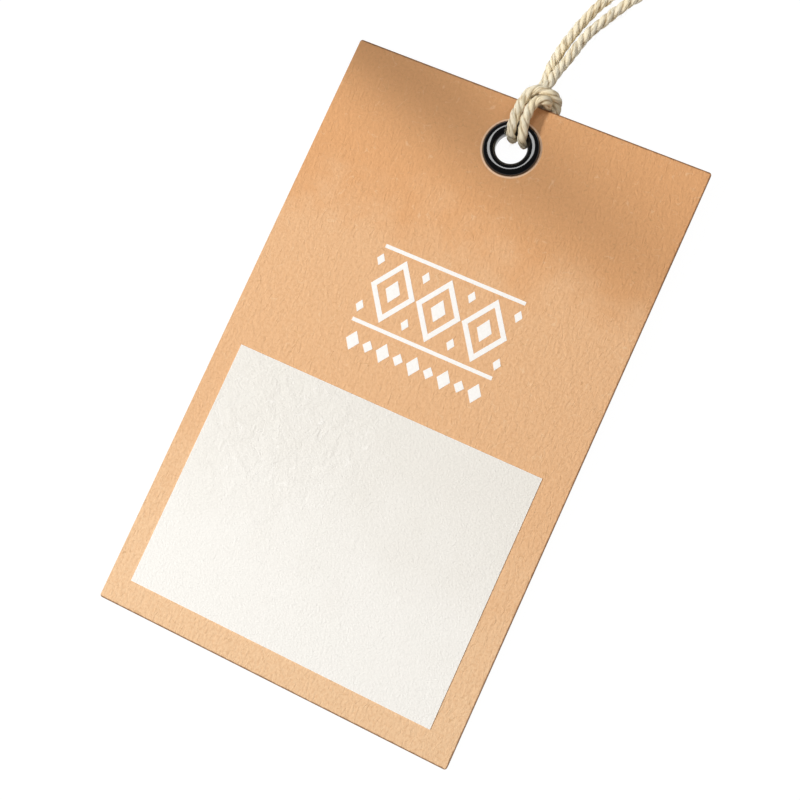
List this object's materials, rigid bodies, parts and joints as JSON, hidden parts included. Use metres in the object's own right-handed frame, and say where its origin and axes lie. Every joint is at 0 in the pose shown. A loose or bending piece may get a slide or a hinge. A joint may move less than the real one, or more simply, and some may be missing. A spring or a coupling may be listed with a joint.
{
  "type": "kraft paper tag",
  "caption": "Rectangular kraft card tag with a blank white writing label, a black metal eyelet at the top and a string of twine hitched through it.",
  "frame": {"origin": "the middle of the card's flat back face", "axes": "+X across the card's width, +Y along the card to the eyelet, +Z out of the printed face. The table that the tag lies on is a plane through the card's lower back edge that falls away by 2.4 mm in 92 mm along +Y, because the twine behind the eyelet props that end up"},
  "size_m": [0.055, 0.1562, 0.0074],
  "materials": {
    "kraft_board": "uncoated brown kraft board, matt, with fine fibres",
    "label_paper": "uncoated off-white paper, matt, lightly fibrous",
    "black_enamel": "gloss black enamel",
    "twine": "undyed cream three-ply twine, slightly hairy",
    "thread": "fine undyed thread"
  },
  "bodies": {
    "root": {"kraft_card": "kraft_board", "writing_label": "label_paper", "eyelet": "black_enamel", "twine_hitch": "twine", "twine_tail_left": "twine", "twine_tail_right": "twine", "twine_hank_left": "twine", "twine_hank_right": "twine", "twine_knot_left": "twine", "twine_knot_right": "twine", "hank_tie_thread": "thread"}
  },
  "joints": []
}
